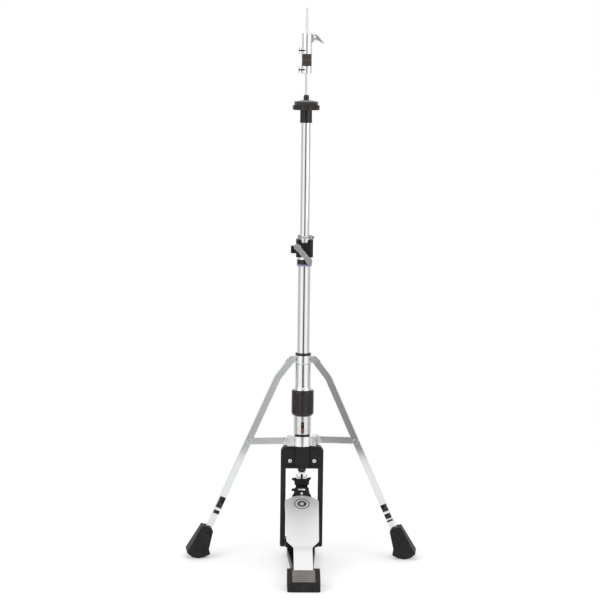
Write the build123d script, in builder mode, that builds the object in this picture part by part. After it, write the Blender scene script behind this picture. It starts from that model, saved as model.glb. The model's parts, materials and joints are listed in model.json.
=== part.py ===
"""Two-legged hi-hat stand: pedal base, sprung pull rod, telescoping tube, cymbal seat and clutch.

Millimetres. The pole stands on the Z axis with the floor at Z = 0, and the pedal points along -Y.
"""

from build123d import *
import math
import os

os.makedirs("parts", exist_ok=True)

# ---------------------------------------------------------------- driving dimensions
RUNNING = 0.08  # radial clearance of a running fit
MAT_T = 2.0  # rubber mat under the base plate
PLATE_T = 2.5

FRAME_HALF = 42.0  # pedal frame, half its outside width
WINDOW_HALF = 31.8
FRAME_TOP = 219.6
WINDOW_TOP = 176.6
FRAME_Y = (-15.0, 5.0)  # front and back of the arms
ARM_FOOT_Z = 16.0
ARM_BOLT = (-5.0, 26.0)  # Y, Z of the bolts that join arms and base plate
ARM_BOLT_R = 3.0

CORE_R = 14.2  # reduced lower end of the spring housing
CORE_Z = 178.0  # where it stands on the frame's floor
BUSH_R = 15.2
HOUSING_R = 17.5
HOUSING_STEP_Z = 243.5
HOUSING_TOP_Z = 300.0
SPRING_BORE_R = 13.4

LOWER_TUBE_R = 15.9
LOWER_TUBE_Z = (285.0, 383.0)
MAIN_TUBE_R = 12.7
MAIN_TUBE_Z = (340.0, 604.0)
UPPER_TUBE_R = 9.525
UPPER_TUBE_Z = (470.0, 870.0)
TUBE_WALL = 1.5

KNOB_R = 22.0
KNOB_Z = (279.5, 331.0)

ROD_R = 3.0  # upper pull rod
LOWER_ROD_R = 4.0
ROD_TOP = 1073.0
ROD_JOIN_Z = 555.0
CLEVIS_PIN_Z = 158.5

HINGE = (-219.2, 24.6)  # Y, Z of the footboard's heel hinge
TOE_PIN = (-4.75, 118.0)
TOE_PIN_R = 2.5
BOARD_ANGLE = 24.64
BOARD_L = 222.0
BOARD_T = 3.0
BOARD_UNDER = 3.2  # underside of the sheet above the hinge axis

LEG_AZIMUTHS = {"left": 186.5, "right": -6.5}
LEG_PIVOT = (22.5, 392.0)  # radius, Z
LEG_BEND = (50.5, 356.0)
LEG_JOINT = (105.7, 231.0)  # where the brace meets the leg
LEG_FLOOR_R = 210.0  # the leg's centre line carried on to the floor
LEG_W = 12.8
LEG_T = 10.0
LEG_WALL = 1.6
BRACE_PIVOT = (30.0, 231.0)
BRACE_W = 13.2
BRACE_T = 2.5
BRACE_GAP = 0.35

CLAMP_Z = (594.0, 628.0)
WING_AXIS = (-3.0, 601.5)  # X, Z of the height clamp's wing screw
SEAT_Z = 878.0
CLUTCH_SCREW_Z = 1014.5


def save(part, label):
    """Label a finished piece and write its STEP file."""
    part.label = label
    export_step(part, f"parts/{label}.step")


def turned(z0, z1, radius, inner=0.0, mode=Mode.ADD):
    """A ring or disc about the pole axis from z0 to z1."""
    with BuildSketch(Plane.XY.offset(z0)) as profile:
        Circle(radius)
        if inner:
            Circle(inner, mode=Mode.SUBTRACT)
    extrude(profile.sketch, amount=z1 - z0, mode=mode)


def bar_x(y, z, radius, x0, x1, mode=Mode.ADD):
    """A round bar along X from x0 to x1, centred on (y, z)."""
    with BuildSketch(Plane.YZ.offset(x0)) as profile:
        with Locations((y, z)):
            Circle(radius)
    extrude(profile.sketch, amount=x1 - x0, mode=mode)


def bar_y(x, z, radius, y0, y1, mode=Mode.ADD):
    """A round bar along Y from y0 to y1, centred on (x, z)."""
    with BuildSketch(Plane.XZ.offset(-y1)) as profile:
        with Locations((x, z)):
            Circle(radius)
    extrude(profile.sketch, amount=y1 - y0, mode=mode)


def slab(x, y, z, mode=Mode.ADD):
    """A box given by its (low, high) limits along each axis."""
    with BuildSketch(Plane.XY.offset(z[0])) as profile:
        with Locations(((x[0] + x[1]) / 2, (y[0] + y[1]) / 2)):
            Rectangle(x[1] - x[0], y[1] - y[0])
    extrude(profile.sketch, amount=z[1] - z[0], mode=mode)


def lathe(*profile):
    """Revolve a closed (radius, z) outline about the pole axis."""
    with BuildSketch(Plane.XZ) as section:
        with BuildLine():
            Polyline(*profile, close=True)
        make_face()
    revolve(section.sketch, axis=Axis.Z)


def both_sides(side, near, far):
    """The limits from near to far, on the side given as -1 or 1, in rising order."""
    return sorted((side * near, side * far))


# ---------------------------------------------------------------- base plate and mat
PLATE_TOP = MAT_T + PLATE_T
BASE_HALF = 27.5
BASE_REAR_Y = 45.0
NECK_HALF = 21.3
BASE_FRONT_Y = -258.0
WALL_T = 2.4
WALL_TOP = 14.0
WEB_Y = (-16.0, -13.0)  # upright web that joins the ears, behind the footboard's waist
EAR_HALF = 31.4
EAR_Z = (17.0, 35.0)


def base_outline(inset=0.0):
    """Outline of the base: parallel under the pole, tapering to the heel's neck."""
    wide, neck = BASE_HALF - inset, NECK_HALF - inset
    rear = BASE_REAR_Y - inset
    with BuildLine() as outline:
        Polyline((0, rear), (wide - 8, rear), (wide, rear - 8), (wide, -14), (neck, -134))
        Polyline((neck, -134), (neck, BASE_FRONT_Y), (0, BASE_FRONT_Y))
        mirror(about=Plane.YZ)
    make_face(outline.edges())


with BuildPart() as base_mat:
    with BuildSketch():
        base_outline()
    extrude(amount=MAT_T)
save(base_mat.part, "base_mat")

with BuildPart() as base_plate:
    with BuildSketch(Plane.XY.offset(MAT_T)):
        base_outline()
    extrude(amount=WALL_TOP - MAT_T)
    with BuildSketch(Plane.XY.offset(PLATE_TOP)):
        base_outline(inset=WALL_T)
    extrude(amount=WALL_TOP, mode=Mode.SUBTRACT)
    # no walls behind the web or under the heel block
    slab((-60, 60), (WEB_Y[1], 60), (PLATE_TOP, 40), Mode.SUBTRACT)
    slab((-60, 60), (-300, -205), (PLATE_TOP, 40), Mode.SUBTRACT)
    slab((-BASE_HALF, BASE_HALF), WEB_Y, (MAT_T, EAR_Z[1]))
    slab((-EAR_HALF, EAR_HALF), WEB_Y, EAR_Z)
    for side in (-1, 1):
        slab(both_sides(side, EAR_HALF - 3, EAR_HALF), (WEB_Y[0], 7.0), EAR_Z)
    fillet(base_plate.edges().filter_by(Axis.X).filter_by_position(Axis.Y, 6.9, 7.1), 6)
    bar_x(*ARM_BOLT, ARM_BOLT_R, -50, 50, Mode.SUBTRACT)
save(base_plate.part, "base_plate")

# ---------------------------------------------------------------- pedal frame
BARREL_HALF = 13.3
FRAME_SCREWS = ((-23.7, 191.9), (23.7, 191.9))
FRAME_SCREW_R = 2.5
HEAD_Z = 183.0  # underside of the head, above its lower lip
SCREW_FACE_Y = -17.0
GUIDE_R = 6.0  # neck of the rod guide, through the frame's floor

with BuildPart() as pedal_frame:
    with BuildSketch(Plane.XZ.offset(-FRAME_Y[1])):
        with BuildLine():
            Polyline(
                (0, FRAME_TOP),
                (FRAME_HALF - 6, FRAME_TOP),
                (FRAME_HALF, FRAME_TOP - 8),
                (FRAME_HALF, ARM_FOOT_Z),
                (WINDOW_HALF, ARM_FOOT_Z),
                (WINDOW_HALF, WINDOW_TOP),
                (0, WINDOW_TOP),
            )
            mirror(about=Plane.YZ)
        make_face()
    extrude(amount=FRAME_Y[1] - FRAME_Y[0])
    arm_feet = pedal_frame.edges().filter_by(Axis.X).group_by(Axis.Z)[0]
    fillet(arm_feet, 9)
    arm_edges = pedal_frame.edges().filter_by(Axis.Z).filter_by_position(Axis.X, -99, -41)
    arm_edges += pedal_frame.edges().filter_by(Axis.Z).filter_by_position(Axis.X, 41, 99)
    fillet(arm_edges, 3)
    # head block, its lower lip, and the barrel that holds the spring housing
    slab((-34, 34), (SCREW_FACE_Y, 12), (HEAD_Z, FRAME_TOP - 5))
    slab((-33, 33), (SCREW_FACE_Y - 1, 10), (WINDOW_TOP, HEAD_Z - 1.8))
    turned(WINDOW_TOP, FRAME_TOP, CORE_R + 4.3)
    slab((-BARREL_HALF, BARREL_HALF), (-22.5, 0), (HEAD_Z - 1, FRAME_TOP - 1))
    barrel_edges = pedal_frame.edges().filter_by(Axis.Z).filter_by_position(Axis.Y, -23, -22)
    fillet(barrel_edges, 3)
    turned(CORE_Z, FRAME_TOP, CORE_R, mode=Mode.SUBTRACT)
    turned(WINDOW_TOP, CORE_Z, GUIDE_R, mode=Mode.SUBTRACT)
    for x, z in FRAME_SCREWS:
        bar_y(x, z, FRAME_SCREW_R, SCREW_FACE_Y, 0, Mode.SUBTRACT)
    bar_x(*ARM_BOLT, ARM_BOLT_R, -50, 50, Mode.SUBTRACT)
save(pedal_frame.part, "pedal_frame")

with BuildPart() as frame_screws:
    for x, z in FRAME_SCREWS:
        bar_y(x, z, FRAME_SCREW_R, SCREW_FACE_Y, -1)
        bar_y(x, z, 4.2, SCREW_FACE_Y - 3, SCREW_FACE_Y)
    fillet(frame_screws.edges().filter_by(GeomType.CIRCLE).group_by(Axis.Y)[0], 2.2)
    for x, z in FRAME_SCREWS:
        with BuildSketch(Plane.XZ.offset(-SCREW_FACE_Y + 3)):
            with Locations((x, z)):
                RegularPolygon(1.3, 6)
        extrude(amount=-1.4, mode=Mode.SUBTRACT)
save(frame_screws.part, "frame_screws")

with BuildPart() as arm_bolts:
    for side in (-1, 1):
        bar_x(*ARM_BOLT, ARM_BOLT_R, *both_sides(side, 28.0, FRAME_HALF + 0.2))
        bar_x(*ARM_BOLT, 5.4, *both_sides(side, 24.5, 28.4))
    for side in (-1, 1):
        with BuildSketch(Plane.YZ.offset(side * (FRAME_HALF + 0.2))):
            with Locations(ARM_BOLT):
                RegularPolygon(1.7, 6)
        extrude(amount=-side * 2, mode=Mode.SUBTRACT)
save(arm_bolts.part, "arm_bolts")

with BuildPart() as rod_guide:
    turned(166.5, WINDOW_TOP, 8.0)
    chamfer(rod_guide.edges().group_by(Axis.Z)[0], 2.2)
    turned(WINDOW_TOP, CORE_Z, GUIDE_R)
    turned(160, 185, LOWER_ROD_R + RUNNING, mode=Mode.SUBTRACT)
save(rod_guide.part, "rod_guide")

# ---------------------------------------------------------------- spring housing and tubes
SLOT_Z = (246.0, 270.5)
SLOT_W = 6.0

with BuildPart() as spring_housing:
    lathe(
        (8.0, CORE_Z),
        (CORE_R, CORE_Z),
        (CORE_R, HOUSING_STEP_Z),
        (HOUSING_R - 1, HOUSING_STEP_Z),
        (HOUSING_R, HOUSING_STEP_Z + 1),
        (HOUSING_R, HOUSING_TOP_Z),
        (LOWER_TUBE_R, HOUSING_TOP_Z),
        (LOWER_TUBE_R, LOWER_TUBE_Z[0]),
        (SPRING_BORE_R, 283),
        (SPRING_BORE_R, 245),
        (8.0, 242),
    )
    with BuildSketch(Plane.XZ):
        with Locations((0, sum(SLOT_Z) / 2)):
            SlotOverall(SLOT_Z[1] - SLOT_Z[0], SLOT_W, rotation=90)
    extrude(amount=30, mode=Mode.SUBTRACT)
save(spring_housing.part, "spring_housing")

with BuildPart() as swivel_bush:
    turned(FRAME_TOP, HOUSING_STEP_Z, BUSH_R, CORE_R)
save(swivel_bush.part, "swivel_bush")

with BuildPart() as lower_tube:
    lathe(
        (14.3, LOWER_TUBE_Z[0]),
        (LOWER_TUBE_R, LOWER_TUBE_Z[0]),
        (LOWER_TUBE_R, 331.4),
        (18.0, 331.4),
        (18.0, 333.0),
        (LOWER_TUBE_R, 337.5),
        (LOWER_TUBE_R, LOWER_TUBE_Z[1]),
        (MAIN_TUBE_R, LOWER_TUBE_Z[1]),
        (MAIN_TUBE_R, MAIN_TUBE_Z[0]),
        (14.3, 337),
    )
save(lower_tube.part, "lower_tube")

with BuildPart() as main_tube:
    turned(*MAIN_TUBE_Z, MAIN_TUBE_R, MAIN_TUBE_R - TUBE_WALL)
save(main_tube.part, "main_tube")

with BuildPart() as upper_tube:
    turned(*UPPER_TUBE_Z, UPPER_TUBE_R, UPPER_TUBE_R - TUBE_WALL)
save(upper_tube.part, "upper_tube")

# ---------------------------------------------------------------- tension adjuster and spring
KNOB_RIBS = 12

with BuildPart() as tension_knob:
    turned(*KNOB_Z, KNOB_R)
    fillet(tension_knob.edges().group_by(Axis.Z)[0], 7)
    fillet(tension_knob.edges().group_by(Axis.Z)[-1], 2.5)
    turned(*KNOB_Z, HOUSING_R + RUNNING, mode=Mode.SUBTRACT)
    with BuildSketch(Plane.XY.offset(KNOB_Z[0] + 7)):
        with PolarLocations(KNOB_R + 1.2, KNOB_RIBS):
            Circle(2.6)
    extrude(amount=KNOB_Z[1] - KNOB_Z[0] - 13, mode=Mode.SUBTRACT)
save(tension_knob.part, "tension_knob")

SPRING_SEAT_Z = 255.0
with BuildPart() as tension_seat:
    turned(SPRING_SEAT_Z - 5, SPRING_SEAT_Z, SPRING_BORE_R - 0.3, LOWER_ROD_R + 0.5)
    slab((-2.4, 2.4), (-HOUSING_R + 0.3, -8), (SPRING_SEAT_Z - 7, SPRING_SEAT_Z + 2))
    turned(SPRING_SEAT_Z - 9, SPRING_SEAT_Z - 5, SPRING_BORE_R - 2, LOWER_ROD_R + 0.5)
save(tension_seat.part, "tension_seat")

COIL_R, WIRE_R = 9.8, 1.1
SPRING_TOP_Z = 318.0
COILS = 7
with BuildPart() as return_spring:
    coil_height = SPRING_TOP_Z - SPRING_SEAT_Z - 2 * WIRE_R - 0.4
    with BuildLine(Plane.XY.offset(SPRING_SEAT_Z + WIRE_R + 0.2)) as coil:
        Helix(coil_height / COILS, coil_height, COIL_R)
    with BuildSketch(Plane(coil.line @ 0, z_dir=coil.line % 0)):
        Circle(WIRE_R)
    sweep(path=coil.line, is_frenet=True)
save(return_spring.part, "return_spring")

with BuildPart() as spring_collar:
    turned(SPRING_TOP_Z, SPRING_TOP_Z + 2, 12.4, LOWER_ROD_R)
    turned(SPRING_TOP_Z + 2, SPRING_TOP_Z + 8, 7.5, LOWER_ROD_R)
save(spring_collar.part, "spring_collar")

# ---------------------------------------------------------------- pull rod
HUB_Z = (163.4, 165.8)  # top of the clevis
with BuildPart() as lower_rod:
    turned(HUB_Z[0], ROD_JOIN_Z, LOWER_ROD_R)
save(lower_rod.part, "lower_rod")

with BuildPart() as upper_rod:
    turned(ROD_JOIN_Z, ROD_TOP, ROD_R)
    chamfer(upper_rod.edges().group_by(Axis.Z)[-1], 0.8)
save(upper_rod.part, "upper_rod")

with BuildPart() as rod_coupler:
    with BuildSketch(Plane.XY.offset(ROD_JOIN_Z - 15)):
        RegularPolygon(6.4, 6)
    extrude(amount=30)
    turned(ROD_JOIN_Z - 15, ROD_JOIN_Z, LOWER_ROD_R, mode=Mode.SUBTRACT)
    turned(ROD_JOIN_Z, ROD_JOIN_Z + 15, ROD_R, mode=Mode.SUBTRACT)
save(rod_coupler.part, "rod_coupler")

CLEVIS_PIN_R = 2.2
with BuildPart() as rod_clevis:
    turned(*HUB_Z, 6.2)
    for side in (-1, 1):
        with BuildSketch(Plane.XZ.offset(-5)):
            with BuildLine():
                Polyline(
                    (side * 1.2, HUB_Z[0]),
                    (side * 2.8, 158.5),
                    (side * 2.8, 154.6),
                    (side * 8.8, 154.6),
                    (side * 9.4, 157.5),
                    (side * 6.6, HUB_Z[1] - 0.4),
                    (side * 1.2, HUB_Z[1] - 0.4),
                    close=True,
                )
            make_face()
        extrude(amount=10)
    fillet(rod_clevis.edges().filter_by(Axis.X).group_by(Axis.Z)[0], 3)
    bar_x(0, CLEVIS_PIN_Z, CLEVIS_PIN_R, -12, 12, Mode.SUBTRACT)
    turned(*HUB_Z, LOWER_ROD_R, mode=Mode.SUBTRACT)
    slab((-2.6, 2.6), (-4.6, 4.6), (150, HUB_Z[0] - 0.1), Mode.SUBTRACT)
save(rod_clevis.part, "rod_clevis")

with BuildPart() as clevis_pin:
    bar_x(0, CLEVIS_PIN_Z, CLEVIS_PIN_R, -9.4, 9.4)
    for side in (-1, 1):
        bar_x(0, CLEVIS_PIN_Z, 3.2, *both_sides(side, 9.4, 10.4))
save(clevis_pin.part, "clevis_pin")

# ---------------------------------------------------------------- drive strap
# It runs from the clevis pin down to the toe pin.
STRAP_T = 3.6
STRAP_L = math.hypot(TOE_PIN[0], CLEVIS_PIN_Z - TOE_PIN[1])
strap_plane = Plane(
    origin=(0, 0, CLEVIS_PIN_Z),
    x_dir=(1, 0, 0),
    z_dir=(0, TOE_PIN[1] - CLEVIS_PIN_Z, -TOE_PIN[0]),
)

with BuildPart() as drive_strap:
    with BuildSketch(strap_plane.offset(-STRAP_T / 2)):
        with BuildLine():
            Polyline(
                (0, 3.2), (2.2, 3.2), (2.2, -5.6), (11.6, -6.6), (11.6, -STRAP_L - 3), (0, -STRAP_L - 3)
            )
            mirror(about=Plane.YZ)
        make_face()
    extrude(amount=STRAP_T)
    bar_x(0, CLEVIS_PIN_Z, 3.9, -2.2, 2.2)
    bar_x(*TOE_PIN, 5.4, -11.6, 11.6)
    bar_x(0, CLEVIS_PIN_Z, CLEVIS_PIN_R + RUNNING, -20, 20, Mode.SUBTRACT)
    bar_x(*TOE_PIN, 3.4, -20, 20, Mode.SUBTRACT)
save(drive_strap.part, "drive_strap")

with BuildPart() as strap_clamp:
    for side in (-1, 1):
        with BuildSketch(strap_plane.offset(side * STRAP_T / 2)):
            with BuildLine():
                Polyline(
                    (-13.8, -18.5),
                    (13.8, -18.5),
                    (15.2, -9.5),
                    (18.6, -5.4),
                    (18.6, -3.4),
                    (10.2, -4.4),
                    (9.6, -6.2),
                    (-9.6, -6.2),
                    (-10.6, -4.0),
                    (-14.5, -4.6),
                    (-18.6, -5.2),
                    (-19.8, -7.0),
                    (-18.6, -9.0),
                    (-15.0, -10.0),
                    close=True,
                )
            make_face()
        extrude(amount=side * 2.2)
    # groove down the middle of the front plate
    with BuildSketch(strap_plane.offset(-STRAP_T / 2 - 2.2)):
        with Locations((0, -13)):
            Rectangle(1.2, 14)
    extrude(amount=1.4, mode=Mode.SUBTRACT)
    for x in (-12.9, 12.9):
        with BuildSketch(strap_plane.offset(-STRAP_T / 2 - 3.6)):
            with Locations((x, -13)):
                Circle(1.1)
        extrude(amount=STRAP_T + 7.2)
save(strap_clamp.part, "strap_clamp")

# ---------------------------------------------------------------- footboard
slope = math.radians(BOARD_ANGLE)
board_plane = Plane(
    origin=(0, *HINGE),
    x_dir=(1, 0, 0),
    z_dir=(0, -math.sin(slope), math.cos(slope)),
)
BOARD_NECK_HALF = 18.0
BOARD_HALF = (31.0, 33.2)  # half width where the wide part starts, and at the toe
SHOULDER = 88.0  # distances along the board from the hinge
NECK_END = 62.0
HEEL_PIN_R = 2.6
TOE_CORNER = BOARD_L - 17.0

with BuildPart() as footboard:
    with BuildSketch(board_plane.offset(BOARD_UNDER)):
        with BuildLine():
            Line((BOARD_NECK_HALF, -2), (BOARD_NECK_HALF, NECK_END))
            Spline(
                (BOARD_NECK_HALF, NECK_END),
                (23.5, 74.5),
                (BOARD_HALF[0], SHOULDER),
                tangents=((0, 1), (0.2, 1)),
            )
            Line((BOARD_HALF[0], SHOULDER), (BOARD_HALF[1], TOE_CORNER))
            mirror(about=Plane.YZ)
            ThreePointArc((-BOARD_HALF[1], TOE_CORNER), (0, BOARD_L), (BOARD_HALF[1], TOE_CORNER))
            Line((BOARD_NECK_HALF, -2), (-BOARD_NECK_HALF, -2))
        make_face()
    extrude(amount=BOARD_T)
    toe_edges = footboard.edges().filter_by_position(Axis.Z, 105, 115)
    fillet(toe_edges.filter_by(lambda e: abs(e.length - BOARD_T) < 0.1), 2)
    bar_x(*HINGE, 5.0, -BOARD_NECK_HALF, BOARD_NECK_HALF)
    with BuildSketch(board_plane.offset(-1)):
        with Locations((0, 1.5)):
            Rectangle(2 * BOARD_NECK_HALF, 7)
    extrude(amount=BOARD_UNDER + 1.5)
    # stiffening flange under each side of the wide part
    for side in (-1, 1):
        with BuildSketch(board_plane.offset(BOARD_UNDER)):
            with BuildLine():
                Polyline(
                    (side * BOARD_HALF[0], SHOULDER + 3),
                    (side * BOARD_HALF[1], TOE_CORNER - 2),
                    (side * (BOARD_HALF[1] - 2.2), TOE_CORNER - 2),
                    (side * (BOARD_HALF[0] - 2.2), SHOULDER + 3),
                    close=True,
                )
            make_face()
        extrude(amount=-6)
    bar_x(*HINGE, HEEL_PIN_R + RUNNING, -40, 40, Mode.SUBTRACT)
save(footboard.part, "footboard")

PLATE_Y = (-17.5, -14.5)  # upright plate of the toe bracket
TOE_SCREW = (0.0, 126.4)  # X, Z
TOE_SCREW_R = 1.6
with BuildPart() as toe_bracket:
    # foot of the bracket, flat under the board
    with BuildSketch(board_plane.offset(BOARD_UNDER - 3)):
        with BuildLine():
            Polyline((0, BOARD_L + 0.5), (20, BOARD_L - 7), (22, BOARD_L - 26), (0, BOARD_L - 30))
            mirror(about=Plane.YZ)
        make_face()
    extrude(amount=3)
    with BuildSketch(Plane.XZ.offset(-PLATE_Y[1])):
        with BuildLine():
            Polyline((0, 138.5), (13, 138.5), (14, 137), (14.3, 129), (19, 121), (20, 110), (0, 110))
            mirror(about=Plane.YZ)
        make_face()
        with Locations((-16.5, 133.5)):
            RectangleRounded(7, 5, 1.2)
        with Locations((0, 134)):
            RectangleRounded(15, 4.4, 1, mode=Mode.SUBTRACT)
    extrude(amount=PLATE_Y[1] - PLATE_Y[0])
    # cheeks that carry the toe pin
    for side in (-1, 1):
        with BuildSketch(Plane.YZ.offset(side * 12.2)):
            with BuildLine():
                Polyline(
                    (PLATE_Y[1] - 1, 112),
                    (PLATE_Y[1] - 1, 131),
                    (TOE_PIN[0], TOE_PIN[1] + 6),
                    (TOE_PIN[0] + 5, TOE_PIN[1] + 2),
                    (TOE_PIN[0] + 5, TOE_PIN[1] - 4),
                    (TOE_PIN[0], TOE_PIN[1] - 6),
                    close=True,
                )
            make_face()
        extrude(amount=side * 3.0)
    bar_x(*TOE_PIN, TOE_PIN_R, -20, 20, Mode.SUBTRACT)
    bar_y(*TOE_SCREW, TOE_SCREW_R, *PLATE_Y, Mode.SUBTRACT)
save(toe_bracket.part, "toe_bracket")

with BuildPart() as toe_pin:
    bar_x(*TOE_PIN, TOE_PIN_R, -15.2, 15.2)
    for side in (-1, 1):
        bar_x(*TOE_PIN, 3.8, *both_sides(side, 15.2, 16.6))
save(toe_pin.part, "toe_pin")

with BuildPart() as toe_screw:
    bar_y(*TOE_SCREW, TOE_SCREW_R, *PLATE_Y)
    bar_y(*TOE_SCREW, 2.7, PLATE_Y[0] - 1.6, PLATE_Y[0])
    fillet(toe_screw.edges().filter_by(GeomType.CIRCLE).group_by(Axis.Y)[0], 1.2)
save(toe_screw.part, "toe_screw")

# ---------------------------------------------------------------- heel
HEEL_HALF = 30.8
HEEL_REAR_Y, HEEL_FRONT_Y = -211.0, -268.0
TREAD_ANGLE = 17.0
TREAD_SIZE = (42.7, 41.5)
TREAD_RIDGES = 7
tread_slope = math.radians(TREAD_ANGLE)
tread_plane = Plane(
    origin=(0, -243.6, 23.4),
    x_dir=(1, 0, 0),
    z_dir=(0, -math.sin(tread_slope), math.cos(tread_slope)),
)

with BuildPart() as heel_block:
    with BuildSketch(Plane.YZ.offset(-HEEL_HALF)):
        with BuildLine():
            Polyline(
                (HEEL_REAR_Y, 0),
                (HEEL_REAR_Y, 26.5),
                (HEEL_REAR_Y - 4, 30.6),
                (-222, 30.6),
                (-265.4, 17.3),
                (HEEL_FRONT_Y, 13.5),
                (HEEL_FRONT_Y - 1, 0),
                close=True,
            )
        make_face()
    extrude(amount=2 * HEEL_HALF)
    nose_edges = heel_block.edges().filter_by_position(Axis.Y, -270, HEEL_FRONT_Y + 0.1)
    fillet(nose_edges.filter_by(lambda e: e.length < 16), 5)
    slab((-NECK_HALF - 0.2, NECK_HALF + 0.2), (BASE_FRONT_Y - 0.3, -200), (-1, PLATE_TOP), Mode.SUBTRACT)
    # room for the footboard's knuckle and neck
    knuckle_half = BOARD_NECK_HALF + 0.5
    slab((-knuckle_half, knuckle_half), (-227.5, -200), (-1, 45), Mode.SUBTRACT)
    with BuildSketch(tread_plane.offset(-1.8)):
        Rectangle(TREAD_SIZE[0] + 0.2, TREAD_SIZE[1] + 0.2)
    extrude(amount=12, mode=Mode.SUBTRACT)
    bar_x(*HINGE, HEEL_PIN_R, -40, 40, Mode.SUBTRACT)
save(heel_block.part, "heel_block")

with BuildPart() as heel_tread:
    with BuildSketch(tread_plane.offset(-1.8)):
        Rectangle(*TREAD_SIZE)
    extrude(amount=1.6)
    with BuildSketch(tread_plane.offset(-0.2)):
        with GridLocations(0, TREAD_SIZE[1] / TREAD_RIDGES, 1, TREAD_RIDGES):
            Rectangle(TREAD_SIZE[0], 3.6)
    extrude(amount=1.3)
save(heel_tread.part, "heel_tread")

with BuildPart() as heel_pin:
    bar_x(*HINGE, HEEL_PIN_R, -HEEL_HALF + 0.2, HEEL_HALF - 0.2)
save(heel_pin.part, "heel_pin")

# ---------------------------------------------------------------- legs
# In a radial plane, x is the distance from the pole, y is the height, and the braces lie on the
# negative side of the leg.
BRACE_W0 = -(LEG_T / 2 + BRACE_GAP)  # inner face of the brace
RIVET_R = 3.0


def radial_plane(azimuth):
    """The plane through the pole at an azimuth, x outwards and y up."""
    angle = math.radians(azimuth)
    return Plane(
        origin=(0, 0, 0),
        x_dir=(math.cos(angle), math.sin(angle), 0),
        z_dir=(math.sin(angle), -math.cos(angle), 0),
    )


def rod_across(plane, centre, radius, w0, w1, mode=Mode.ADD):
    """A round bar across a radial plane, from w0 to w1."""
    with BuildSketch(plane.offset(w0)) as profile:
        with Locations(centre):
            Circle(radius)
    extrude(profile.sketch, amount=w1 - w0, mode=mode)


def block_across(plane, low, high, w0, w1, mode=Mode.ADD):
    """A rectangular block across a radial plane, from w0 to w1."""
    with BuildSketch(plane.offset(w0)) as profile:
        with Locations(((low[0] + high[0]) / 2, (low[1] + high[1]) / 2)):
            Rectangle(high[0] - low[0], high[1] - low[1])
    extrude(profile.sketch, amount=w1 - w0, mode=mode)


def leg_outline(start, shift=0.0, end_z=18.0):
    """The leg's bent strip, seen square to the radial plane."""
    run = (LEG_FLOOR_R - LEG_JOINT[0]) / LEG_JOINT[1]
    end = (LEG_FLOOR_R - end_z * run, end_z)
    with BuildLine() as centre_line:
        FilletPolyline(*[(r + shift, z) for r, z in (start, LEG_BEND, end)], radius=30)
    trace(centre_line.line, line_width=LEG_W)


# foot profiles: square to the radial plane, then square to the leg
FOOT_SIDE = (
    (198, 64),
    (228, 13),
    (218, 3.5),
    (206, 0),
    (194, 2.5),
    (182.5, 9),
    (185, 19),
    (176.5, 53),
    (181, 60),
)
FOOT_TOP_HALF, FOOT_BOTTOM_HALF = 12.0, 22.5

for side, azimuth in LEG_AZIMUTHS.items():
    plane = radial_plane(azimuth)
    with BuildPart() as leg:
        with BuildSketch(plane.offset(-LEG_T / 2)):
            leg_outline(LEG_PIVOT)
            with Locations(LEG_PIVOT):
                Circle(6.7)
        extrude(amount=LEG_T)
        flange_gap = LEG_T / 2 - LEG_WALL
        with BuildSketch(plane.offset(-flange_gap)):
            leg_outline(LEG_PIVOT, shift=-LEG_WALL * 1.1, end_z=10)
            with Locations(LEG_PIVOT):
                Circle(13)
        extrude(amount=2 * flange_gap, mode=Mode.SUBTRACT)
        rod_across(plane, LEG_PIVOT, RIVET_R + RUNNING, -20, 20, Mode.SUBTRACT)
        # the leg's half of the brace rivet
        rod_across(plane, LEG_JOINT, 2.8, -LEG_T / 2, LEG_T / 2)
        rod_across(plane, LEG_JOINT, 4.6, LEG_T / 2, LEG_T / 2 + 2)
    save(leg.part, f"leg_{side}")

    with BuildPart() as foot:
        with BuildSketch(plane.offset(-30)):
            with BuildLine():
                Polyline(*FOOT_SIDE, close=True)
            make_face()
        extrude(amount=60)
        side_plane = Plane(
            origin=plane.from_local_coords((240, 0, 0)), x_dir=plane.z_dir, z_dir=plane.x_dir
        )
        with BuildSketch(side_plane):
            with BuildLine():
                Polyline(
                    (FOOT_TOP_HALF, -70),
                    (FOOT_BOTTOM_HALF, -10),
                    (FOOT_BOTTOM_HALF - 6, 0.5),
                    (-FOOT_BOTTOM_HALF + 6, 0.5),
                    (-FOOT_BOTTOM_HALF, -10),
                    (-FOOT_TOP_HALF, -70),
                    close=True,
                )
            make_face()
        extrude(amount=-100, mode=Mode.INTERSECT)
        with BuildSketch(plane.offset(-LEG_T / 2)):
            leg_outline(LEG_PIVOT)
        extrude(amount=LEG_T, mode=Mode.SUBTRACT)
    save(foot.part, f"foot_{side}")

    with BuildPart() as brace:
        with BuildSketch(plane.offset(BRACE_W0 - BRACE_T)):
            with Locations(((BRACE_PIVOT[0] + LEG_JOINT[0]) / 2, BRACE_PIVOT[1])):
                SlotOverall(LEG_JOINT[0] - BRACE_PIVOT[0] + BRACE_W, BRACE_W)
        extrude(amount=BRACE_T)
        rod_across(plane, LEG_JOINT, 4.6, BRACE_W0 - BRACE_T - 2, BRACE_W0 - BRACE_T)
        rod_across(plane, BRACE_PIVOT, RIVET_R + RUNNING, -20, 20, Mode.SUBTRACT)
    save(brace.part, f"brace_{side}")

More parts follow.
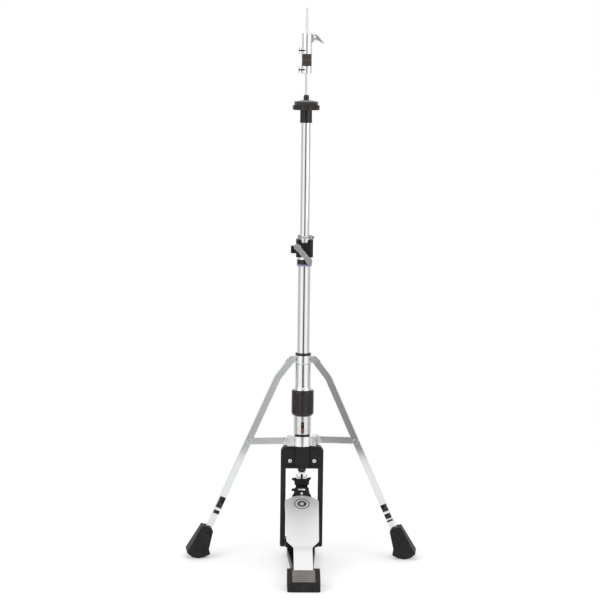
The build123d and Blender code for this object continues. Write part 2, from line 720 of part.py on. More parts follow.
COLLAR_Z = (383.4, 400.0)
COLLAR_R = 15.4
with BuildPart() as leg_collar:
    lathe(
        (MAIN_TUBE_R + RUNNING, COLLAR_Z[0]),
        (14.6, COLLAR_Z[0]),
        (COLLAR_R, COLLAR_Z[0] + 1.5),
        (COLLAR_R, COLLAR_Z[1]),
        (MAIN_TUBE_R + RUNNING, COLLAR_Z[1]),
    )
    for azimuth in LEG_AZIMUTHS.values():
        plane = radial_plane(azimuth)
        rod_across(plane, LEG_PIVOT, 6.8, -3.0, 3.0)
        block_across(plane, (14, 385.2), (LEG_PIVOT[0], 398.8), -3.0, 3.0)
        rod_across(plane, LEG_PIVOT, RIVET_R, -20, 20, Mode.SUBTRACT)
save(leg_collar.part, "leg_collar")

with BuildPart() as leg_pivots:
    for azimuth in LEG_AZIMUTHS.values():
        plane = radial_plane(azimuth)
        rod_across(plane, LEG_PIVOT, RIVET_R, -6.2, 6.2)
        for w0 in (-7.2, 5.4):
            rod_across(plane, LEG_PIVOT, 4.8, w0, w0 + 1.8)
save(leg_pivots.part, "leg_pivots")

with BuildPart() as collar_ring:
    turned(COLLAR_Z[1], COLLAR_Z[1] + 5, 15.6, MAIN_TUBE_R + RUNNING)
    chamfer(collar_ring.edges().group_by(Axis.Z)[-1].sort_by(SortBy.RADIUS)[-1], 1)
save(collar_ring.part, "collar_ring")

SWIVEL_Z = (220.4, 240.0)
CHEEK_T = 3.0
# room for a brace between its cheeks
BRACE_SPACE = (BRACE_W0 - BRACE_T - BRACE_GAP, BRACE_W0 + BRACE_GAP)
CHEEKS = (BRACE_SPACE[1], BRACE_SPACE[0] - CHEEK_T)  # where each cheek starts across the plane
with BuildPart() as swivel_casting:
    turned(*SWIVEL_Z, 21.0)
    for azimuth in LEG_AZIMUTHS.values():
        plane = radial_plane(azimuth)
        block_across(plane, (10, SWIVEL_Z[0]), (21, SWIVEL_Z[1]), -11.6, 9.5)
        block_across(plane, (20, SWIVEL_Z[0]), (28.6, SWIVEL_Z[1]), -2.0, 9.5)
        for w0 in CHEEKS:
            block_across(plane, (20, SWIVEL_Z[0]), (31, SWIVEL_Z[1]), w0, w0 + CHEEK_T)
            rod_across(plane, (31, 230.4), 7.5, w0, w0 + CHEEK_T)
        block_across(plane, (21.5, 200), (60, 260), *BRACE_SPACE, Mode.SUBTRACT)
    for azimuth in LEG_AZIMUTHS.values():
        rod_across(radial_plane(azimuth), BRACE_PIVOT, RIVET_R, -20, 20, Mode.SUBTRACT)
    turned(200, 260, BUSH_R + RUNNING, mode=Mode.SUBTRACT)
save(swivel_casting.part, "swivel_casting")

with BuildPart() as brace_pivots:
    for azimuth in LEG_AZIMUTHS.values():
        plane = radial_plane(azimuth)
        outer = CHEEKS[1]
        rod_across(plane, BRACE_PIVOT, RIVET_R, outer, -2.0)
        rod_across(plane, BRACE_PIVOT, 4.8, outer - 1.8, outer)
save(brace_pivots.part, "brace_pivots")

# ---------------------------------------------------------------- height clamp and memory lock
BUSH_TOP = 606.0
BAND_R = 14.65  # rings about the main tube, below the clamp
CLAMP_BORE_R = 14.5
WING_SCREW_R = 2.9
with BuildPart() as tube_bush:
    turned(576, 580, BAND_R, MAIN_TUBE_R)
save(tube_bush.part, "tube_bush")

with BuildPart() as clamp_band:
    turned(580, 589, BAND_R, MAIN_TUBE_R)
save(clamp_band.part, "clamp_band")

with BuildPart() as clamp_sleeve:
    turned(589, BUSH_TOP, CLAMP_BORE_R, MAIN_TUBE_R)
save(clamp_sleeve.part, "clamp_sleeve")

with BuildPart() as height_bush:
    turned(560, MAIN_TUBE_Z[1], MAIN_TUBE_R - TUBE_WALL, UPPER_TUBE_R + RUNNING)
    turned(MAIN_TUBE_Z[1], BUSH_TOP, MAIN_TUBE_R, UPPER_TUBE_R + RUNNING)
save(height_bush.part, "height_bush")

CUP_Z = 621.4
with BuildPart() as height_clamp:
    with BuildSketch(Plane.XY.offset(CLAMP_Z[0])):
        RectangleRounded(33, 34, 7)
    extrude(amount=CLAMP_Z[1] - CLAMP_Z[0])
    slab((-26.5, -10), (-8, 8), (601, 615))
    bar_y(*WING_AXIS, 6.5, -21.5, -10)
    fillet(height_clamp.edges().filter_by(Axis.Y).filter_by_position(Axis.X, -27, -26), 2)
    turned(CLAMP_Z[0], BUSH_TOP, CLAMP_BORE_R, mode=Mode.SUBTRACT)
    turned(BUSH_TOP, CUP_Z, UPPER_TUBE_R + RUNNING, mode=Mode.SUBTRACT)
    turned(CUP_Z, CLAMP_Z[1], 14.2, mode=Mode.SUBTRACT)
    # notch through which the memory lock shows
    with BuildSketch(Plane.XZ.offset(5)):
        with BuildLine():
            Polyline((0, 622), (8, 622), (12.5, 628.5), (0, 628.5))
            mirror(about=Plane.YZ)
        make_face()
    extrude(amount=20, mode=Mode.SUBTRACT)
    bar_y(*WING_AXIS, WING_SCREW_R + RUNNING, -30, -14.6, Mode.SUBTRACT)
    # parting line of the clamp's two halves, at the back
    slab((-0.8, 0.8), (10, 20), (607, 630), Mode.SUBTRACT)
save(height_clamp.part, "height_clamp")

wing_tilt = math.radians(49)
wing_plane = Plane(
    origin=(WING_AXIS[0], -24, WING_AXIS[1]),
    x_dir=(math.cos(wing_tilt), 0, -math.sin(wing_tilt)),
    z_dir=(0, -1, 0),
)
with BuildPart() as clamp_wing:
    with BuildSketch(wing_plane):
        SlotOverall(46, 9.6)
        with GridLocations(34, 0, 2, 1):
            Ellipse(7.5, 6.2)
    extrude(amount=3.6)
    bar_y(*WING_AXIS, 5.6, -29.5, -21.9)
    bar_y(*WING_AXIS, WING_SCREW_R, -22, -15)
save(clamp_wing.part, "clamp_wing")

LOCK_Z = (CUP_Z + 0.4, 635.0)
LOCK_SCREW = (-12.3, 633.0)  # Y, Z
LOCK_SCREW_R = 1.9
with BuildPart() as memory_lock:
    turned(*LOCK_Z, 13.4)
    slab((-13.6, -6.5), (-15, 0), (629, 637.5))
    slab((7, 13.6), (-15, 0), (629, 637.5))
    slab((-6.6, 7.1), (-20, 0), (629, 640), Mode.SUBTRACT)
    turned(629, LOCK_Z[1], 13.4)
    turned(600, 660, UPPER_TUBE_R + RUNNING, mode=Mode.SUBTRACT)
    bar_x(*LOCK_SCREW, LOCK_SCREW_R, -20, 20, Mode.SUBTRACT)
save(memory_lock.part, "memory_lock")

with BuildPart() as lock_screw:
    bar_x(*LOCK_SCREW, LOCK_SCREW_R, -13.6, 13.6)
    with BuildSketch(Plane.YZ.offset(13.6)):
        with Locations(LOCK_SCREW):
            Rectangle(4.6, 4.6)
    extrude(amount=4.5)
    turned(600, 660, UPPER_TUBE_R + RUNNING, mode=Mode.SUBTRACT)
save(lock_screw.part, "lock_screw")

# ---------------------------------------------------------------- bottom cymbal seat
NECK_FLUTES = 14
SEAT_R, DISC_R, POST_R = 26.3, 23.0, 5.4
POST_BORE_R = 4.1
TILT_SCREW = (0.0, 18.8)
TILT_SCREW_R = 2.0
NECK_Z = (853.5, 877.2)

with BuildPart() as seat_neck:
    turned(*NECK_Z, 11.6)
    with BuildSketch(Plane.XY.offset(857)):
        with PolarLocations(12.1, NECK_FLUTES):
            Circle(1.6)
    extrude(amount=30, mode=Mode.SUBTRACT)
    turned(NECK_Z[0], 856.5, 12.2)
    turned(NECK_Z[0], UPPER_TUBE_Z[1], UPPER_TUBE_R, mode=Mode.SUBTRACT)
    turned(UPPER_TUBE_Z[1], 880, 6.0, mode=Mode.SUBTRACT)
    turned(874.8, 880, 9.9, mode=Mode.SUBTRACT)
save(seat_neck.part, "seat_neck")

with BuildPart() as seat_cup:
    turned(SEAT_Z, SEAT_Z + 9.4, SEAT_R)
    fillet(seat_cup.edges().group_by(Axis.Z)[0], 1.8)
    with BuildSketch(Plane.XY.offset(SEAT_Z - 1)):
        with PolarLocations(SEAT_R + 1.2, 12):
            Circle(3.2)
    extrude(amount=12, mode=Mode.SUBTRACT)
    # skirt that closes the gap over the neck
    turned(SEAT_Z - 1.8, SEAT_Z, 8.7)
    turned(SEAT_Z - 2, SEAT_Z + 10, POST_R, mode=Mode.SUBTRACT)
    with BuildSketch(Plane.XY.offset(SEAT_Z - 1)):
        with Locations(TILT_SCREW):
            Circle(TILT_SCREW_R + RUNNING)
    extrude(amount=9, mode=Mode.SUBTRACT)
save(seat_cup.part, "seat_cup")

with BuildPart() as seat_felt:
    disc_z = SEAT_Z + 9.4
    lathe((POST_R, disc_z), (DISC_R, disc_z), (DISC_R, 892.8), (DISC_R - 1.6, 894.4), (POST_R, 897.2))
save(seat_felt.part, "seat_felt")

with BuildPart() as seat_post:
    lathe(
        (POST_BORE_R, SEAT_Z),
        (POST_R, SEAT_Z),
        (POST_R, 903.4),
        (POST_R - 0.6, 905.6),
        (POST_BORE_R, 907),
    )
save(seat_post.part, "seat_post")

with BuildPart() as tilt_screw:
    for radius, z0, z1 in ((3.8, 864, 872), (TILT_SCREW_R, 872, 884)):
        with BuildSketch(Plane.XY.offset(z0)):
            with Locations(TILT_SCREW):
                Circle(radius)
        extrude(amount=z1 - z0)
save(tilt_screw.part, "tilt_screw")

# ---------------------------------------------------------------- clutch
SLEEVE_R = 6.0
NUT_R = 10.4
NUT_EAR_X = -16.0
NUT_EAR_R = 6.5
UPPER_NUT_Z = (985.2, 997.6)
LOWER_NUT_Z = (948.0, 961.6)
FELT_Z = (962.0, 985.0)
FELT_R = 9.6

with BuildPart() as clutch_body:
    turned(998, 1025, 10.0)
    fillet(clutch_body.edges().group_by(Axis.Z)[-1], 1.2)
    slab((3, 12.2), (-6.5, 6.5), (1006.5, 1022.5))
    with BuildSketch(Plane.XY.offset(1022.5)):
        with Locations((9.0, 0)):
            Circle(1.9)
    extrude(amount=5)
    bar_x(0, CLUTCH_SCREW_Z, WING_SCREW_R + RUNNING, 3, 20, Mode.SUBTRACT)
    turned(990, 1030, ROD_R + RUNNING, mode=Mode.SUBTRACT)
    # slit that lets the body close on the rod
    slab((-0.7, 0.7), (2, 15), (1000, 1030), Mode.SUBTRACT)
    turned(997, 1001, SLEEVE_R, mode=Mode.SUBTRACT)
save(clutch_body.part, "clutch_body")

with BuildPart() as clutch_sleeve:
    turned(946, 1001, SLEEVE_R, ROD_R + RUNNING)
save(clutch_sleeve.part, "clutch_sleeve")

# round lock nuts, each with a slotted clamping ear on its left
for label, z, bore in (
    ("upper_nut", UPPER_NUT_Z, SLEEVE_R),
    ("bottom_nut", LOWER_NUT_Z, SLEEVE_R + RUNNING),
):
    slot_z = sum(z) / 2
    with BuildPart() as nut:
        turned(*z, NUT_R)
        with BuildSketch(Plane.XY.offset(z[0])):
            with Locations((NUT_EAR_X + NUT_EAR_R, 0)):
                Circle(NUT_EAR_R)
        extrude(amount=z[1] - z[0])
        slit = (slot_z - 1.3, slot_z + 1.3)
        slab((NUT_EAR_X - 1, 3 - SLEEVE_R), (-20, 3), slit, Mode.SUBTRACT)
        turned(z[0] - 1, z[1] + 1, bore, mode=Mode.SUBTRACT)
    save(nut.part, label)

with BuildPart() as felts:
    middle = sum(FELT_Z) / 2
    turned(FELT_Z[0], middle - 0.1, FELT_R, SLEEVE_R)
    turned(middle + 0.1, FELT_Z[1], FELT_R, SLEEVE_R)
save(felts.part, "felts")

with BuildPart() as clutch_wing:
    bar_x(0, CLUTCH_SCREW_Z, WING_SCREW_R, 4.2, 14)
    bar_x(0, CLUTCH_SCREW_Z, 5.2, 12.6, 17)
    with BuildSketch(Plane.XZ.offset(-2.6)):
        with BuildLine():
            Spline(
                (13.4, CLUTCH_SCREW_Z + 8.0),
                (17.0, CLUTCH_SCREW_Z + 8.6),
                (25.0, CLUTCH_SCREW_Z + 2.8),
                (33.5, CLUTCH_SCREW_Z - 6.6),
            )
            Line((33.5, CLUTCH_SCREW_Z - 6.6), (32.4, CLUTCH_SCREW_Z - 9.8))
            Spline(
                (32.4, CLUTCH_SCREW_Z - 9.8),
                (24.0, CLUTCH_SCREW_Z - 6.2),
                (17.0, CLUTCH_SCREW_Z - 4.0),
                (13.4, CLUTCH_SCREW_Z - 6.4),
            )
            Line((13.4, CLUTCH_SCREW_Z - 6.4), (13.4, CLUTCH_SCREW_Z + 8.0))
        make_face()
    extrude(amount=5.2)
    blade_edges = clutch_wing.edges().filter_by_position(Axis.X, 17.5, 34).group_by(Axis.Y)
    fillet(blade_edges[0] + blade_edges[-1], 1.8)
save(clutch_wing.part, "clutch_wing")
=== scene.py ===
# Looks of the hi-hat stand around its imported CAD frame. Metres, floor at Z = 0, pedal towards -Y.

import json
import math

import bmesh
import bpy
from mathutils import Matrix, Vector


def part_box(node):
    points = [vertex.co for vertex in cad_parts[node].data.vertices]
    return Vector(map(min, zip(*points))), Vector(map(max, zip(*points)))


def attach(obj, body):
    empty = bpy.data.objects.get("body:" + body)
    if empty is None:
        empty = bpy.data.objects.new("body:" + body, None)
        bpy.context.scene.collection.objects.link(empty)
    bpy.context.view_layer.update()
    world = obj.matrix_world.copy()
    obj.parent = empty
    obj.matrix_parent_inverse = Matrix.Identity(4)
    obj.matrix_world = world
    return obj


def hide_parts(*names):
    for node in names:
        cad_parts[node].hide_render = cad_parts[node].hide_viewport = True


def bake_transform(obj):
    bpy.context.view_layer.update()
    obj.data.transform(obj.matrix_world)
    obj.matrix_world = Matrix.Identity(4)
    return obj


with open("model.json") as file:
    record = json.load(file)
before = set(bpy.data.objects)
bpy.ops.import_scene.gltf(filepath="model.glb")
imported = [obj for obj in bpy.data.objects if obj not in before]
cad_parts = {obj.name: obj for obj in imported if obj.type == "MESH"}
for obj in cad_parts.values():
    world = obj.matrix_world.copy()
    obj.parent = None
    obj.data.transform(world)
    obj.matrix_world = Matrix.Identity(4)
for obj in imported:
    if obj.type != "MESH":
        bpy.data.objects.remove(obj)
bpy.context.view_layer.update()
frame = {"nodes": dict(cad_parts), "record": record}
NODES = frame["nodes"]
SLOT_OF = {part["node"]: part["material_slot"] for part in frame["record"]["subparts"]}
MM = 0.001


# ---------------------------------------------------------------- procedural materials
# cosines between the true and the rounded normal, where an edge's wear or painted highlight starts and
# where it is full
EDGE_STARTS, EDGE_FULL = 0.995, 0.90


def add_node(tree, kind, inputs, output=0, **settings):
    """A node with its settings and inputs, where an input is a value or another node's socket."""
    node = tree.nodes.new(kind)
    for key, value in settings.items():
        setattr(node, key, value)
    for key, value in inputs.items():
        if isinstance(value, bpy.types.NodeSocket):
            tree.links.new(value, node.inputs[key])
        else:
            node.inputs[key].default_value = value
    return node.outputs[output]


def rgba(colour):
    """An RGB value as RGBA; a socket stays as it is."""
    return colour if isinstance(colour, bpy.types.NodeSocket) else (*colour, 1.0)


class Shade:
    """A node material under construction. Lengths are in millimetres of the row frame."""

    def __init__(self, name, **constants):
        self.material = bpy.data.materials.new(name)
        self.material.use_nodes = True
        self.tree = self.material.node_tree
        self.shader = self.tree.nodes["Principled BSDF"]
        for socket, value in constants.items():
            self.shader.inputs[socket.replace("_", " ")].default_value = value
        place = self.tree.nodes.new("ShaderNodeTexCoord").outputs["Object"]
        self.place = self.math("MULTIPLY", place, 1 / MM, vector=True)

    def add(self, kind, inputs, output=0, **settings):
        """A node of this material."""
        return add_node(self.tree, kind, inputs, output, **settings)

    def math(self, operation, first, second=0.0, vector=False):
        """One arithmetic step on two numbers or sockets, or on two vectors."""
        if vector:
            second = (second,) * 3 if isinstance(second, float) else second
            return self.add("ShaderNodeVectorMath", {0: first, 1: second}, operation=operation)
        return self.add("ShaderNodeMath", {0: first, 1: second}, operation=operation)

    def grid(self, size, stretch):
        """The surface point counted in features of that size, drawn out along any axis by stretch."""
        return self.math("MULTIPLY", self.place, tuple(1 / (size * s) for s in stretch), vector=True)

    def noise(self, size, detail=3.0, stretch=(1, 1, 1), rough=0.55, twist=0.0):
        """Noise from 0 to 1 whose features are about size across."""
        place = self.grid(size, stretch)
        inputs = {"Vector": place, "Scale": 1.0, "Detail": detail, "Roughness": rough, "Distortion": twist}
        return self.add("ShaderNodeTexNoise", inputs)

    def cells(self, size, stretch):
        """Distance to the nearest of scattered points, for tangled fibres."""
        return self.add("ShaderNodeTexVoronoi", {"Vector": self.grid(size, stretch), "Scale": 1.0})

    def span(self, value, low, high, to_low=0.0, to_high=1.0):
        """value carried from low..high to to_low..to_high, and held at its ends."""
        inputs = {"Value": value, "From Min": low, "From Max": high, "To Min": to_low, "To Max": to_high}
        return self.add("ShaderNodeMapRange", inputs)

    def mix(self, share, first, second):
        """Two colours mixed by share. The mix node's sockets 6, 7 and 2 are those of its colours."""
        return self.add("ShaderNodeMix", {0: share, 6: rgba(first), 7: rgba(second)}, 2, data_type="RGBA")

    def axis(self, name):
        """One coordinate of the surface point, in millimetres."""
        return self.add("ShaderNodeSeparateXYZ", {0: self.place}, "XYZ".index(name))

    def edge_wear_and_highlight(self, reach, amount):
        """Where edges are, broken up as handling wears them; the plated looks use it as a painted highlight
        along edges.
        """
        flat = self.add("ShaderNodeNewGeometry", {}, "Normal")
        soft = self.add("ShaderNodeBevel", {"Radius": reach * MM}, samples=6)
        turn = self.add("ShaderNodeVectorMath", {0: flat, 1: soft}, "Value", operation="DOT_PRODUCT")
        edge = self.span(turn, EDGE_STARTS, EDGE_FULL)
        broken = self.span(self.noise(3.0, 4.0), 0.42, 0.60)
        return self.math("MULTIPLY", self.math("MULTIPLY", edge, broken), amount)

    def bump(self, height, depth, under=None, round_edge=0.35):
        """A normal pressed in by height, depth millimetres deep, over edges rounded by round_edge."""
        inputs = {"Height": height, "Distance": depth * MM, "Strength": 1.0}
        if under is not None:
            inputs["Normal"] = under
        elif round_edge:
            inputs["Normal"] = self.add("ShaderNodeBevel", {"Radius": round_edge * MM}, samples=4)
        return self.add("ShaderNodeBump", inputs)

    def finish(self, colour, roughness, normal):
        """Joins colour, roughness and normal to the shader and returns the material."""
        for socket, value in (("Base Color", colour), ("Roughness", roughness), ("Normal", normal)):
            if isinstance(value, bpy.types.NodeSocket):
                self.tree.links.new(value, self.shader.inputs[socket])
            else:
                self.shader.inputs[socket].default_value = value
        return self.material


def scaled(tone, times, plus=0.0):
    """A colour made lighter or darker."""
    return tuple(c * times + plus for c in tone)


def chrome_tube():
    """Mirror plating on drawn tube: faint lengthwise draw lines and handling haze."""
    s = Shade("chrome", Metallic=1.0)
    haze = s.noise(22.0, 4.0, (1, 1, 2.5))
    lines = s.noise(0.25, 2.0, (1, 1, 60))
    colour = s.mix(haze, (0.74, 0.75, 0.77), (0.84, 0.845, 0.855))
    roughness = s.math("ADD", s.span(haze, 0.35, 0.75, 0.025, 0.075), s.span(lines, 0.3, 0.8, 0.0, 0.03))
    return s.finish(colour, roughness, s.bump(lines, 0.0012, round_edge=0.25))


def leg_plating():
    """Duller plating on pressed strip: rolling marks, greenish-grey tint and dust."""
    s = Shade("leg_chrome", Metallic=1.0)
    haze = s.noise(45.0, 3.0)
    rolled = s.noise(0.4, 3.0, (1, 1, 20))
    colour = s.mix(haze, (0.68, 0.705, 0.705), (0.75, 0.775, 0.775))
    # painted highlight: the strip's edges made lighter, near white
    colour = s.mix(s.edge_wear_and_highlight(0.9, 0.7), colour, (0.94, 0.94, 0.94))
    roughness = s.math("ADD", s.span(haze, 0.3, 0.7, 0.07, 0.10), s.span(rolled, 0.3, 0.8, 0.0, 0.03))
    return s.finish(colour, roughness, s.bump(rolled, 0.0008, round_edge=1.0))


def plated_steel():
    """Zinc-plated small parts, finely brushed."""
    s = Shade("bright_steel", Metallic=1.0)
    haze = s.noise(6.0, 4.0)
    grain = s.noise(0.18, 3.0, (1, 1, 8))
    colour = s.mix(haze, (0.62, 0.63, 0.64), (0.78, 0.785, 0.79))
    roughness = s.span(grain, 0.25, 0.75, 0.20, 0.32)
    return s.finish(colour, roughness, s.bump(grain, 0.0015, round_edge=0.3))


def ground_rod():
    """Centreless-ground rod: softly shining, with faint rings and finger marks."""
    s = Shade("ground_rod", Metallic=1.0)
    haze = s.noise(9.0, 4.0, (1, 1, 3))
    rings = s.noise(0.3, 2.0, (30, 30, 1))
    colour = s.mix(haze, (0.70, 0.71, 0.72), (0.84, 0.845, 0.85))
    roughness = s.math("ADD", s.span(haze, 0.3, 0.7, 0.16, 0.22), s.span(rings, 0.3, 0.8, 0.0, 0.04))
    return s.finish(colour, roughness, s.bump(rings, 0.0004, round_edge=0))


def plated_casting(name, low, high):
    """Chrome over a die casting: rippled skin, softened edges and a painted highlight along them."""
    s = Shade(name, Metallic=1.0)
    ripple = s.noise(5.0, 3.0)
    skin = s.noise(0.8, 2.0)
    colour = s.mix(ripple, (0.76, 0.76, 0.77), (0.90, 0.90, 0.91))
    # painted highlight: edges made lighter, near white
    colour = s.mix(s.edge_wear_and_highlight(0.8, 0.8), colour, (0.97, 0.97, 0.97))
    roughness = s.span(skin, 0.3, 0.75, low, high)
    under = s.bump(ripple, 0.012, round_edge=0.8)
    return s.finish(colour, roughness, s.bump(skin, 0.0015, under=under))


def spring_wire():
    """Oiled spring wire."""
    s = Shade("spring_steel", Metallic=1.0)
    oil = s.noise(3.0, 4.0)
    colour = s.mix(oil, (0.20, 0.20, 0.21), (0.42, 0.41, 0.40))
    return s.finish(colour, s.span(oil, 0.3, 0.7, 0.22, 0.42), s.bump(s.noise(0.4), 0.01))


def turned_satin():
    """Satin sleeve with the fine rings of turning round the pole."""
    s = Shade("satin_steel", Metallic=1.0)
    rings = s.noise(0.22, 3.0, (40, 40, 1))
    haze = s.noise(12.0, 4.0)
    colour = s.mix(haze, (0.60, 0.60, 0.60), (0.78, 0.78, 0.77))
    roughness = s.math("ADD", s.span(rings, 0.3, 0.75, 0.12, 0.24), s.span(haze, 0.3, 0.8, 0.0, 0.06))
    return s.finish(colour, roughness, s.bump(rings, 0.004, round_edge=0.3))


DARK_BAND_Y, DARK_BAND_HALF = -166.0, 10.0  # darker band across the footboard where its neck runs into its wide part


def brushed_aluminium():
    """Anodised footboard, brushed lengthwise, with scuffs where shoes slide."""
    s = Shade("satin_aluminium", Metallic=0.62)
    grain = s.noise(0.16, 4.0, (1, 90, 40))
    broad = s.noise(26.0, 3.0, (1, 2.2, 1))
    scuffs = s.span(s.noise(1.6, 5.0, (1, 7, 4), twist=0.6), 0.60, 0.74)
    scuffs = s.math("MULTIPLY", scuffs, s.span(s.noise(35.0, 2.0), 0.45, 0.65))
    colour = s.mix(grain, (0.80, 0.80, 0.79), (0.91, 0.91, 0.90))
    colour = s.mix(s.math("MULTIPLY", broad, 0.30), colour, (0.78, 0.78, 0.78))
    colour = s.mix(s.math("MULTIPLY", scuffs, 0.30), colour, (0.62, 0.62, 0.62))
    # darker band across the board where the neck meets the wide part
    off_band = s.math("ABSOLUTE", s.math("ADD", s.axis("Y"), -DARK_BAND_Y))
    colour = s.mix(s.span(off_band, DARK_BAND_HALF, 1.0, 0.0, 0.28), colour, (0.40, 0.40, 0.40))
    roughness = s.math("ADD", s.span(grain, 0.25, 0.8, 0.33, 0.42), s.math("MULTIPLY", scuffs, 0.10))
    return s.finish(colour, roughness, s.bump(grain, 0.006, round_edge=0.4))


def painted_black(name, tone, grain_size, depth, low, high):
    """Black paint over metal with its texture, dust and edges rubbed lighter."""
    s = Shade(name, Metallic=0.0, Specular_IOR_Level=0.22)
    grain = s.noise(grain_size, 3.0)
    cloud = s.noise(18.0, 4.0)
    dust = s.span(s.noise(2.4, 5.0), 0.56, 0.78)
    colour = s.mix(cloud, scaled(tone, 0.75), scaled(tone, 1.35))
    colour = s.mix(s.math("MULTIPLY", dust, 0.035), colour, (0.32, 0.31, 0.30))
    colour = s.mix(s.edge_wear_and_highlight(0.6, 0.40), colour, (0.12, 0.118, 0.115))
    roughness = s.math("ADD", s.span(grain, 0.3, 0.7, low, high), s.math("MULTIPLY", dust, 0.12))
    return s.finish(colour, roughness, s.bump(grain, depth, round_edge=0.55))


def moulded(name, tone, low=0.34, high=0.52, depth=0.012, shine=0.35):
    """Moulded plastic with a spark-eroded grain and paler edges."""
    s = Shade(name, IOR=1.49, Specular_IOR_Level=shine)
    grain = s.noise(0.45, 4.0)
    cloud = s.noise(9.0, 4.0)
    colour = s.mix(cloud, scaled(tone, 0.7), scaled(tone, 1.4))
    colour = s.mix(s.edge_wear_and_highlight(0.5, 0.35), colour, scaled(tone, 0.6, 0.10))
    roughness = s.span(grain, 0.3, 0.7, low, high)
    return s.finish(colour, roughness, s.bump(grain, depth, round_edge=0.4))


def rubber(name, tone):
    """Moulded rubber: matt, dusty in places, fine grain."""
    s = Shade(name, IOR=1.5, Specular_IOR_Level=0.2)
    grain = s.noise(0.35, 4.0)
    dust = s.span(s.noise(7.0, 5.0), 0.50, 0.75)
    colour = s.mix(s.noise(14.0, 3.0), scaled(tone, 0.7), scaled(tone, 1.3))
    colour = s.mix(s.math("MULTIPLY", dust, 0.05), colour, (0.30, 0.285, 0.27))
    colour = s.mix(s.edge_wear_and_highlight(0.9, 0.3), colour, scaled(tone, 0.8, 0.03))
    roughness = s.math("ADD", s.span(grain, 0.3, 0.7, 0.45, 0.7), s.math("MULTIPLY", dust, 0.15))
    return s.finish(colour, roughness, s.bump(grain, 0.02, round_edge=0.8))


def felt():
    """Pressed wool felt: tangled fibres, soft sheen, lint."""
    s = Shade("dark_felt", Sheen_Weight=0.6, Sheen_Roughness=0.4)
    fibre = s.noise(0.16, 5.0, rough=0.7, twist=2.2)
    tangle = s.cells(0.5, (1, 1, 0.6))
    lint = s.span(s.noise(0.5, 5.0, twist=3.0), 0.62, 0.75)
    colour = s.mix(fibre, (0.012, 0.009, 0.008), (0.070, 0.052, 0.044))
    colour = s.mix(s.math("MULTIPLY", lint, 0.5), colour, (0.16, 0.13, 0.11))
    under = s.bump(tangle, 0.12, round_edge=0.9)
    return s.finish(colour, s.span(fibre, 0.2, 0.8, 0.75, 0.95), s.bump(fibre, 0.10, under=under))


def span_z(node):
    """Bottom and top of a CAD node, in millimetres."""
    low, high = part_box(node)
    return low.z / MM, high.z / MM


def purple_nylon():
    """Bush that shows as a purple line under the black band, with painted shade darkening it towards the
    band.
    """
    s = Shade("purple_nylon", IOR=1.53)
    grain = s.noise(0.4, 4.0)
    # painted shade: the bush grows darker towards its top, under the black band
    height = s.span(s.axis("Z"), *span_z("tube_bush"))
    colour = s.mix(height, (0.36, 0.29, 0.50), (0.15, 0.11, 0.21))
    colour = s.mix(s.math("MULTIPLY", s.noise(5.0, 4.0), 0.4), colour, (0.22, 0.17, 0.32))
    return s.finish(colour, s.span(grain, 0.3, 0.7, 0.30, 0.45), s.bump(grain, 0.01))


MATERIALS = {
    "chrome": chrome_tube(),
    "leg_chrome": leg_plating(),
    "bright_steel": plated_steel(),
    "bright_casting": plated_casting("bright_casting", 0.14, 0.22),
    "tumbled_casting": plated_casting("tumbled_casting", 0.27, 0.35),
    "spring_steel": spring_wire(),
    "satin_steel": turned_satin(),
    "satin_aluminium": brushed_aluminium(),
    "black_casting": painted_black("black_casting", (0.013, 0.0122, 0.012), 0.5, 0.012, 0.34, 0.46),
    "black_steel": painted_black("black_steel", (0.011, 0.0104, 0.010), 0.9, 0.012, 0.28, 0.40),
    "black_plastic": moulded(
        "black_plastic", (0.016, 0.0125, 0.0105), low=0.07, high=0.16, depth=0.0015, shine=0.42
    ),
    "purple_nylon": purple_nylon(),
    "brown_plastic": moulded("brown_plastic", (0.15, 0.06, 0.035)),
    "rubber": rubber("rubber", (0.012, 0.0115, 0.011)),
    "heel_rubber": rubber("heel_rubber", (0.014, 0.0132, 0.0128)),
    "tread_rubber": rubber("tread_rubber", (0.235, 0.215, 0.205)),
    "dark_felt": felt(),
    "ground_rod": ground_rod(),
}
# the looks are the slots', apart from ground rods and small castings duller than the swivel and collar
LOOK_OF = {**SLOT_OF, "upper_rod": "ground_rod", "lower_rod": "ground_rod"}
for small in ("memory_lock", "upper_nut", "bottom_nut", "clutch_body", "clamp_wing", "clutch_wing"):
    LOOK_OF[small] = "tumbled_casting"

for node, look in LOOK_OF.items():
    shown = NODES[node]
    if not shown.material_slots:
        shown.data.materials.append(None)
    for place in shown.material_slots:
        place.material = MATERIALS[look]


# ---------------------------------------------------------------- pieces made here
def piece(name, mesh_builder, slot, body=None):
    """A mesh object made by mesh_builder, with a slot's material, riding on a body if one is given."""
    mesh = bpy.data.meshes.new(name)
    made = bmesh.new()
    mesh_builder(made)
    bmesh.ops.recalc_face_normals(made, faces=made.faces)
    made.to_mesh(mesh)
    made.free()
    for face in mesh.polygons:
        face.use_smooth = True
    obj = bpy.data.objects.new(name, mesh)
    bpy.context.scene.collection.objects.link(obj)
    mesh.materials.append(MATERIALS[slot])
    if body:
        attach(obj, body)
    return obj


def loft(made, loops, closed=False):
    """Quads between neighbouring loops of points, with end caps unless the last loop meets the first."""
    rings = [[made.verts.new(p) for p in loop] for loop in loops]
    pairs = list(zip(rings, rings[1:]))
    if closed:
        pairs.append((rings[-1], rings[0]))
    for a, b in pairs:
        for i in range(len(a)):
            j = (i + 1) % len(a)
            made.faces.new((a[i], a[j], b[j], b[i]))
    if not closed:
        made.faces.new(rings[0])
        made.faces.new(rings[-1])


CORNER_ROUNDS, CORNER_CUT = 2, 0.22  # times that corners are cut, and share of an edge that goes


